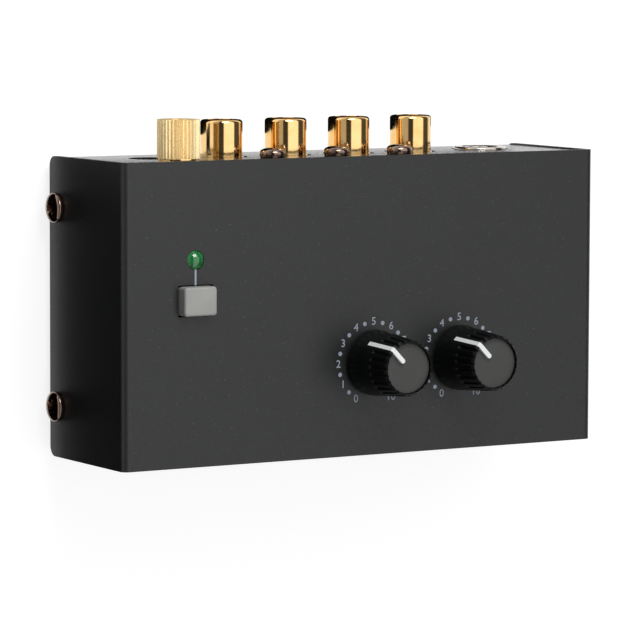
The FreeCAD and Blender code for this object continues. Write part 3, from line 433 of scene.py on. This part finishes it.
def add_screw(work, screw, seat, axis):
    """Add a screw to a bmesh: seat is the point under its head, axis the way the head points."""
    reach, crown = screw.head / 2, screw.crown
    rim, underside, fullness = 0.35 * crown, 0.9, 0.7
    profile = [(0, -screw.length), (screw.shank / 2, -screw.length), (screw.shank / 2, 0),
               (underside * reach, 0)]
    for angle in map(math.radians, (30, 60, 90)):
        share = underside + (1 - underside) * math.sin(angle)
        profile.append((reach * share, rim * (1 - math.cos(angle))))
    for angle in map(math.radians, range(10, 90, 10)):
        profile.append((reach * math.cos(angle) ** fullness,
                        rim + (crown - rim) * math.sin(angle) ** fullness))
    profile.append((0, crown))
    lathe(work, profile, seat, axis, SMALL_ROUND_STEPS)


def cross_cutter(screw, seat, axis, turn):
    """A tapered cross that cuts a recess into the crown of a screw."""
    size, depth, past_crown = 0.62 * screw.head, 0.6 * screw.crown, 0.3
    arm, half = size / 2, 0.12 * size
    points = []
    for quarter in range(4):
        turned = Matrix.Rotation(-quarter * math.pi / 2, 2)
        points += [turned @ Vector(point) for point in ((half, arm), (half, half), (arm, half))]
    levels = ((screw.crown - depth, 0.5), (screw.crown + past_crown * depth, 1.1))
    work = bmesh.new()
    rings = [[work.verts.new((point.x * share, point.y * share, level)) for point in points]
             for level, share in levels]
    join_rings(work, *rings)
    work.faces.new(rings[0])
    work.faces.new(rings[1][::-1])
    bmesh.ops.recalc_face_normals(work, faces=work.faces)
    stand = Vector(UP).rotation_difference(Vector(axis)).to_matrix().to_4x4()
    spin = Matrix.Rotation(math.radians(turn), 4, "Z")
    work.transform(Matrix.Translation(Vector(seat)) @ stand @ spin)
    return add_object("cutter", mesh_from(work, "cutter"))


def make_screws(name, node, screw, places):
    """Replace a node of screws. Each place is its seat, the way its head points and its cross's turn."""
    work = bmesh.new()
    for seat, axis, _ in places:
        add_screw(work, screw, seat, axis)
    screws = finish_mesh(work, name, black_nickel, "preamp")
    for seat, axis, turn in places:
        cutter = cross_cutter(screw, seat, axis, turn)
        cut = screws.modifiers.new("cross", "BOOLEAN")
        cut.object = cutter
        cut.operation = "DIFFERENCE"
        cut.solver = "EXACT"
        with bpy.context.temp_override(object=screws):
            bpy.ops.object.modifier_apply(modifier=cut.name)
        bpy.data.objects.remove(cutter)
    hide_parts(node)


def make_cover_screws():
    low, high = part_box("cover_screws")
    screw, height = COVER_SCREW, (low.z + high.z) / 2
    front, back = low.y + screw.head / 2, high.y - screw.head / 2
    left, right = low.x + screw.crown, high.x - screw.crown
    outward_left, outward_right = (-1, 0, 0), (1, 0, 0)
    places = [((left, front, height), outward_left, 62), ((left, back, height), outward_left, 38),
              ((right, front, height), outward_right, 20), ((right, back, height), outward_right, 75)]
    make_screws("case_screws", "cover_screws", screw, places)


def make_jack_screws():
    low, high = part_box("jack_screws")
    screw, height = JACK_SCREW, (low.z + high.z) / 2
    pitch = (high.x - low.x - screw.head) / 2
    places = []
    for step, turn in enumerate((12, 50, 31)):
        seat = (low.x + screw.head / 2 + step * pitch, high.y - screw.crown, height)
        places.append((seat, OUT_OF_PANEL, turn))
    make_screws("socket_screws", "jack_screws", screw, places)


# Nose of the output jack

def make_jack_nose():
    low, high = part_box("output_jack_nose")
    centre = middle("output_jack_nose")
    outer, bore, edge, mouth = (high.x - low.x) / 2, 3.25 * MM, 0.35 * MM, 0.7 * MM
    length = high.y - low.y
    profile = [(bore, 0), (outer, 0), (outer, length - edge)]
    profile += arc(outer - edge, length - edge, edge, 0, 90, 6)
    profile += arc(bore + mouth, length - mouth, mouth, 90, 180)
    profile += [(bore, 0)]
    work = bmesh.new()
    lathe(work, profile, (centre.x, low.y, centre.z), OUT_OF_PANEL)
    nose = finish_mesh(work, "output_nose", nickel, "preamp")
    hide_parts("output_jack_nose")


# Knobs, fluted over their upper half, with a disc set into the end

FLUTES, STEPS_PER_FLUTE = 24, 12
POINTER_ANGLE = math.radians(134)
KNOB_BASE, KNOB_TIP = 6.5 * MM, 5.5 * MM
DISC_RADIUS, DISC_RECESS = 4.95 * MM, 0.65 * MM


def fluted_ring(work, origin, radius, height, depth=0):
    """A ring of vertices with shallow grooves. The pointer takes the place of the first groove."""
    groove_share = 0.52
    ring = []
    for step in range(FLUTES * STEPS_PER_FLUTE):
        number = round(step / STEPS_PER_FLUTE) % FLUTES
        across = (step + STEPS_PER_FLUTE / 2) % STEPS_PER_FLUTE / STEPS_PER_FLUTE - 0.5
        in_groove = number and abs(across) < groove_share / 2
        cut = math.cos(math.pi * across / groove_share) if in_groove else 0
        angle = POINTER_ANGLE + 2 * math.pi * step / (FLUTES * STEPS_PER_FLUTE)
        reach = radius - depth * cut
        ring.append(work.verts.new((origin.x + reach * math.cos(angle), origin.y + reach * math.sin(angle),
                                    origin.z + height)))
    return ring


def knob_levels(height):
    """Radius, height and groove depth up the outside of a knob and into the seat of its disc."""
    lower_edge, upper_edge, run_out = 0.15 * MM, 0.42 * MM, 0.5 * MM
    flute_length, flute_depth = 5.6 * MM, 0.42 * MM
    start = height - flute_length

    def side(level):
        return KNOB_BASE + (KNOB_TIP - KNOB_BASE) * level / height

    levels = [(KNOB_BASE - lower_edge, 0, 0), (side(lower_edge), lower_edge, 0), (side(start), start, 0)]
    for share in (0.25, 0.5, 0.75, 1.0):
        level = start + run_out * share
        levels.append((side(level), level, flute_depth * math.sin(share * math.pi / 2)))
    levels.append((side(height - upper_edge), height - upper_edge, flute_depth))
    levels.append((KNOB_TIP - 0.4 * upper_edge, height - 0.6 * upper_edge, 0.9 * flute_depth))
    levels.append((KNOB_TIP - upper_edge, height, 0.6 * flute_depth))
    levels += [(DISC_RADIUS, height, 0), (DISC_RADIUS, height - 2 * DISC_RECESS, 0)]
    return levels


def make_knob_body(knob, origin, height):
    wall, hollow, boss, boss_lift, bore = 1.3 * MM, 6.5 * MM, 4.5 * MM, 0.8 * MM, 3.05 * MM
    inside = KNOB_BASE - wall
    levels = [(bore, hollow), (bore, boss_lift), (boss, boss_lift), (boss, hollow), (inside, hollow),
              (inside, 0)] + knob_levels(height)
    work = bmesh.new()
    bore_end = [work.verts.new((origin.x, origin.y, origin.z + hollow))]
    seat_middle = [work.verts.new((origin.x, origin.y, origin.z + height - 2 * DISC_RECESS))]
    rings = [bore_end] + [fluted_ring(work, origin, *level) for level in levels] + [seat_middle]
    for first, second in zip(rings, rings[1:]):
        join_rings(work, first, second)
    body = finish_mesh(work, f"{knob}_knob_body", knob_black, f"{knob}_control", 35)
    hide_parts(f"{knob}_knob")


def make_knob_disc(knob, origin, height):
    gap, thickness, edge_height, edge_width = 0.02 * MM, 0.5 * MM, 0.08 * MM, 0.1 * MM
    top, radius = height - DISC_RECESS, DISC_RADIUS - gap
    profile = [(0, top - thickness), (radius, top - thickness), (radius, top - edge_height),
               (DISC_RADIUS - edge_width, top), (0, top)]
    work = bmesh.new()
    lathe(work, profile, origin, UP)
    disc = finish_mesh(work, f"{knob}_end_disc", knob_disc_grey, f"{knob}_control", 30)
    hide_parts(f"{knob}_knob_disc")


def make_knob(knob):
    low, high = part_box(f"{knob}_knob")
    origin = middle(f"{knob}_knob")
    origin.z = low.z
    make_knob_body(knob, origin, high.z - low.z)
    make_knob_disc(knob, origin, high.z - low.z)


# Power lamp, a domed lens

def make_lamp_lens():
    low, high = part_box("power_lamp")
    centre = middle("power_lamp")
    radius, dome, rim = (high.x - low.x) / 2, 1.15 * MM, 0.12 * MM
    sphere = (radius ** 2 + dome ** 2) / (2 * dome)
    opening = math.degrees(math.asin(radius / sphere))
    profile = [(0, low.z), (radius - rim, low.z), (radius, low.z + rim), (radius, high.z - dome)]
    profile += arc(0, high.z - sphere, sphere, 90 - opening, 90, 16)[1:-1] + [(0, high.z)]
    work = bmesh.new()
    lathe(work, profile, (centre.x, centre.y, 0), UP, SMALL_ROUND_STEPS)
    lens = finish_mesh(work, "lamp_dome", lamp_resin(), "preamp", 40)
    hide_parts("power_lamp")


# Power button, with soft moulded edges

def make_button():
    low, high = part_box("power_button")
    size, centre = high - low, middle("power_button")
    corner_radius, top_radius, near = 0.65 * MM, 0.45 * MM, 0.01 * MM
    bevel = dict(segments=6, profile=0.5, affect="EDGES")
    work = bmesh.new()
    bmesh.ops.create_cube(work, size=1)
    for vert in work.verts:
        vert.co = Vector((vert.co.x * size.x, vert.co.y * size.y, vert.co.z * size.z)) + centre
    upright = [edge for edge in work.edges if abs(edge.verts[0].co.z - edge.verts[1].co.z) > size.z / 2]
    bmesh.ops.bevel(work, geom=upright, offset=corner_radius, **bevel)
    top = [edge for edge in work.edges if min(vert.co.z for vert in edge.verts) > high.z - near]
    bmesh.ops.bevel(work, geom=top, offset=top_radius, **bevel)
    button = finish_mesh(work, "power_cap", button_grey, "button", 40)
    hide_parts("power_button")


# Printing on the label face

PRINT_LIFT = 0.015 * MM
face_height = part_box("top_cover")[1].z + PRINT_LIFT


def printed_shape(work, points):
    work.faces.new([work.verts.new((x, y, face_height)) for x, y in points])


def round_points(centre, radius, angles):
    """Points round a centre, with angles in degrees clockwise from +Y."""
    return [(centre.x + radius * math.sin(angle), centre.y + radius * math.cos(angle))
            for angle in map(math.radians, angles)]


def make_number(name, number, place):
    numeral_height, numeral_share, boldness = 1.5 * MM, 0.7, 0.02 * MM
    text = bpy.data.curves.new(name, "FONT")
    text.body = str(number)
    text.size = numeral_height / numeral_share
    text.align_x = "CENTER"
    text.align_y = "CENTER"
    text.offset = boldness
    text.materials.append(print_grey)
    piece = add_object(name, text)
    piece.location = (*place, face_height)
    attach(piece, "preamp")


def make_dial(knob):
    """Numbers 0 to 10 round a knob, 30 degrees apart, with a dot between each two."""
    number_circle, dot_circle, dot_radius, dot_steps = 8.1 * MM, 7.96 * MM, 0.425 * MM, 20
    first, step, last = -150, 30, 10
    centre = middle(f"{knob}_shaft")
    angles = [first + step * number for number in range(last + 1)]
    for number, place in enumerate(round_points(centre, number_circle, angles)):
        make_number(f"{knob}_number_{number}", number, place)
    work = bmesh.new()
    for x, y in round_points(centre, dot_circle, [angle + step / 2 for angle in angles[:-1]]):
        turns = [2 * math.pi * part / dot_steps for part in range(dot_steps)]
        printed_shape(work, [(x + dot_radius * math.cos(turn), y + dot_radius * math.sin(turn))
                             for turn in turns])
    dots = finish_mesh(work, f"{knob}_dots", print_grey, "preamp")


def make_marks():
    """The line from the lamp to the button."""
    half, button_gap, lamp_gap = 0.2 * MM, 0.2 * MM, 0.4 * MM
    button, lamp = middle("power_button"), middle("power_lamp")
    start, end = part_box("power_button")[1].y + button_gap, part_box("power_lamp")[0].y + lamp_gap
    work = bmesh.new()
    printed_shape(work, [(lamp.x - half, start), (lamp.x + half, start), (lamp.x + half, end),
                         (lamp.x - half, end)])
    marks = finish_mesh(work, "panel_marks", print_grey, "preamp")


for number in SOCKETS:
    make_barrel(number)
make_cover_screws()
make_jack_screws()
make_jack_nose()
make_lamp_lens()
make_button()
for knob in KNOBS:
    make_knob(knob)
    make_dial(knob)
make_marks()


# Studio

# Brightness of the world by angle, in degrees, from above towards +X: for plain light, then for reflections
LIGHT_PANELS = [(-180, 0.1), (-60, 0.1), (-10, 0.85), (180, 0.85)]
REFLECTED_STRIPS = [(-180, 0.12), (-112, 0.12), (-104, 1.1), (-78, 1.1), (-74, 0.5), (-46, 0.5),
                    (-42, 0.05), (-18, 0.05), (-14, 1.35), (41, 1.35), (47, 0.08), (80, 0.08),
                    (86, 0.9), (180, 0.9)]
SHOWN_WHITE = 1.0

# Inputs of a Mix node for plain numbers
MIX_NUMBERS = (2, 3)


def make_camera():
    """The photograph's view: 59 degrees above the label face, from its left, through a long lens."""
    place = Vector((-0.41881, 0.06924, 0.71367))
    right = Vector((0.85789, 0.00328, 0.51382))
    up = Vector((0.04575, 0.99552, -0.08275))
    axes = Matrix((right, up, right.cross(up))).transposed().to_4x4()
    camera = bpy.data.cameras.new("camera")
    camera.sensor_width = 36
    camera.lens = 229.92
    camera.clip_start = 10 * MM
    holder = add_object("camera", camera)
    holder.matrix_world = Matrix.Translation(place) @ axes
    bpy.context.scene.camera = holder


def calculated(tree, operation, *values):
    node = tree.nodes.new("ShaderNodeMath")
    node.operation = operation
    for socket, value in zip(node.inputs, values):
        feed(tree, value, socket)
    return node.outputs[0]


def level_by_angle(tree, angle, stops):
    """The brightness that stops of (degrees, brightness) give at an angle in radians."""
    brightest = max(level for _, level in stops)
    share = tree.nodes.new("ShaderNodeMapRange")
    share.inputs["From Min"].default_value = -math.pi
    share.inputs["From Max"].default_value = math.pi
    tree.links.new(angle, share.inputs["Value"])
    curve = tree.nodes.new("ShaderNodeFloatCurve")
    tree.links.new(share.outputs["Result"], curve.inputs["Value"])
    points = curve.mapping.curves[0].points
    points[0].location = (0, stops[0][1] / brightest)
    points[-1].location = (1, stops[-1][1] / brightest)
    for stop, level in stops[1:-1]:
        points.new((stop + 180) / 360, level / brightest)
    for point in points:
        point.handle_type = "VECTOR"
    curve.mapping.update()
    return calculated(tree, "MULTIPLY", curve.outputs[0], brightest)


def chosen(tree, factor, first, second):
    """The first number where the factor is 0, the second where it is 1."""
    node = tree.nodes.new("ShaderNodeMix")
    for socket, value in zip((MIX_FACTOR, *MIX_NUMBERS), (factor, first, second)):
        feed(tree, value, node.inputs[socket])
    return node.outputs[0]


def make_world():
    """A studio of panels that run along Y: even light from the right, and strips for polished metal."""
    world = bpy.data.worlds.new("studio")
    world.use_nodes = True
    bpy.context.scene.world = world
    tree = world.node_tree
    background = tree.nodes["Background"]
    background.inputs["Color"].default_value = (1, 1, 1, 1)
    split = tree.nodes.new("ShaderNodeSeparateXYZ")
    tree.links.new(tree.nodes.new("ShaderNodeTexCoord").outputs["Generated"], split.inputs[0])
    angle = calculated(tree, "ARCTAN2", split.outputs["X"], split.outputs["Z"])
    path = tree.nodes.new("ShaderNodeLightPath")
    lit = level_by_angle(tree, angle, LIGHT_PANELS)
    mirrored = level_by_angle(tree, angle, REFLECTED_STRIPS)
    strength = chosen(tree, path.outputs["Is Glossy Ray"], lit, mirrored)
    shown = chosen(tree, path.outputs["Is Camera Ray"], strength, SHOWN_WHITE)
    tree.links.new(shown, background.inputs["Strength"])


def matt_material(name, level):
    """A grey with no gloss at all, and its shader."""
    material = bpy.data.materials.new(name)
    material.use_nodes = True
    shader = material.node_tree.nodes["Principled BSDF"]
    shader.inputs["Base Color"].default_value = (level, level, level, 1)
    shader.inputs["Specular IOR Level"].default_value = 0.0
    return material, shader


def make_floor():
    """Pale floor that shows white to the camera and to polished metal, and keeps its shadow."""
    grey, glow_level, width = 0.34, 0.8, 12
    material, diffuse = matt_material("pale_floor", grey)
    diffuse.inputs["Roughness"].default_value = 0.9
    tree = material.node_tree
    path = tree.nodes.new("ShaderNodeLightPath").outputs
    mirrored = calculated(tree, "MAXIMUM", path["Is Glossy Ray"], path["Is Transmission Ray"])
    seen = calculated(tree, "MAXIMUM", path["Is Camera Ray"], mirrored)
    glow = tree.nodes.new("ShaderNodeEmission")
    tree.links.new(calculated(tree, "MULTIPLY", seen, glow_level), glow.inputs["Strength"])
    both = tree.nodes.new("ShaderNodeAddShader")
    tree.links.new(diffuse.outputs[0], both.inputs[0])
    tree.links.new(glow.outputs[0], both.inputs[1])
    tree.links.new(both.outputs[0], tree.nodes["Material Output"].inputs["Surface"])
    bpy.ops.mesh.primitive_plane_add(size=width, location=(0, 0, 0))
    floor = bpy.context.object
    floor.name = "floor"
    floor.data.materials.append(material)


def make_lamp():
    """One soft lamp close over the back left of the case, which makes the face's fall-off."""
    place, target = Vector((-0.03, 0.13, 0.15)), Vector((-0.02, 0.0, 0.03))
    lamp = bpy.data.lights.new("soft_lamp", "AREA")
    lamp.shape = "RECTANGLE"
    lamp.size, lamp.size_y = 100 * MM, 80 * MM
    lamp.energy = 0.2
    holder = add_object("soft_lamp", lamp)
    holder.location = place
    holder.rotation_euler = (target - place).to_track_quat("-Z", "Y").to_euler()
    holder.visible_camera = False


def make_cards():
    """Black cards on the floor, met only by reflections: painted shade for the flap and the barrels.

    One paints shade into the flap's reflection. The other paints shade into the barrels' undersides, and
    starts past the floor that the connector panel mirrors to the camera.
    """
    # Near-black sheets that only glossy rays meet: painted shade in the reflections.
    material, _ = matt_material("painted_shade_card", 0.005)
    height, edge, clear_of_panel = 0.4 * MM, cad_low.x - 1 * MM, panel_plane + 3.6 * MM
    places = {"flap_shade_card": ((edge - 160 * MM, -120 * MM), (edge, clear_of_panel)),
              "barrel_shade_card": ((edge, clear_of_panel), (cad_high.x, panel_plane + 40 * MM))}
    for name, ((left, front), (right, back)) in places.items():
        corners = [(left, front, height), (right, front, height), (right, back, height), (left, back, height)]
        mesh = bpy.data.meshes.new(name)
        mesh.from_pydata(corners, [], [(0, 1, 2, 3)])
        mesh.materials.append(material)
        card = add_object(name, mesh)
        card.visible_camera = False
        card.visible_diffuse = False
        card.visible_shadow = False
        card.visible_transmission = False


make_camera()
make_world()
make_floor()
make_lamp()
make_cards()
bpy.context.scene.view_settings.view_transform = "Standard"
